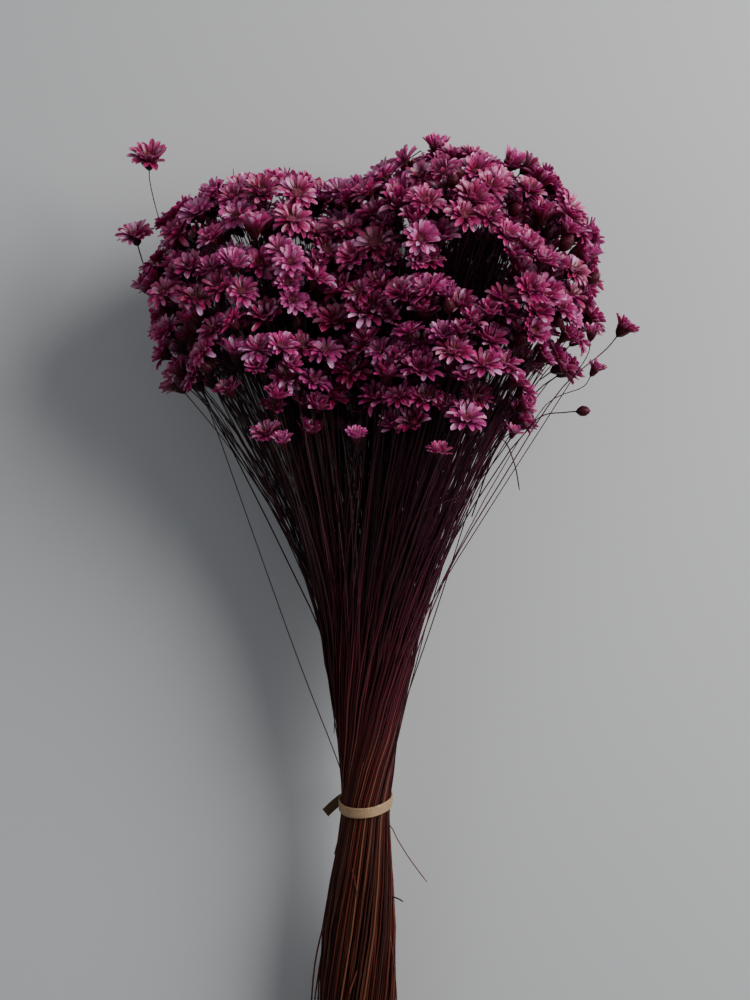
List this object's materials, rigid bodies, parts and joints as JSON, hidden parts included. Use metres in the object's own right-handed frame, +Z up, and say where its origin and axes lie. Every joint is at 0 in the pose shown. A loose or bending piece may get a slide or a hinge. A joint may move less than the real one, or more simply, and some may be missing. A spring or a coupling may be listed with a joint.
{
  "type": "dried glixia bunch",
  "caption": "Bunch of dried glixia lying on its side: thin dark stems held by a flat tie, spreading to a heart-shaped head of small star-shaped plum flowers.",
  "frame": {"origin": "middle of the bunch's bounding box, on the surface that it lies on", "axes": "+Y along the stems from the cut ends towards the flowers, +Z up, +X to the right when looking down with the flowers away from the viewer"},
  "size_m": [0.2152, 0.4448, 0.1068],
  "materials": {
    "stems": "dry and matte",
    "tie": "matte",
    "petals": "dry and papery, faint sheen"
  },
  "bodies": {
    "root": {"stems": "stems", "tie": "tie", "loose_flower_01": "petals", "loose_flower_02": "petals", "loose_flower_03": "petals", "loose_flower_04": "petals", "loose_flower_05": "petals", "loose_flower_06": "petals", "loose_flower_07": "petals", "loose_flower_08": "petals", "loose_flower_09": "petals", "loose_flower_10": "petals", "loose_flower_11": "petals", "loose_flower_12": "petals", "flower_group_01": "petals", "flower_group_02": "petals", "flower_group_03": "petals", "flower_group_04": "petals", "flower_group_05": "petals", "flower_group_06": "petals", "flower_group_07": "petals", "flower_group_08": "petals", "flower_group_09": "petals", "flower_group_10": "petals", "flower_group_11": "petals", "flower_group_12": "petals", "flower_group_13": "petals", "flower_group_14": "petals", "flower_group_15": "petals", "flower_group_16": "petals", "flower_group_17": "petals", "flower_group_18": "petals", "flower_group_19": "petals", "flower_group_20": "petals", "flower_group_21": "petals", "flower_group_22": "petals", "flower_group_23": "petals", "flower_group_24": "petals", "flower_group_25": "petals", "flower_group_26": "petals", "flower_group_27": "petals", "flower_group_28": "petals", "flower_group_29": "petals", "flower_group_30": "petals", "flower_group_31": "petals", "flower_group_32": "petals", "flower_group_33": "petals", "flower_group_34": "petals", "flower_group_35": "petals", "flower_group_36": "petals", "flower_group_37": "petals", "flower_group_38": "petals", "flower_group_39": "petals", "flower_group_40": "petals", "flower_group_41": "petals", "flower_group_42": "petals", "flower_group_43": "petals", "flower_group_44": "petals"}
  },
  "joints": []
}
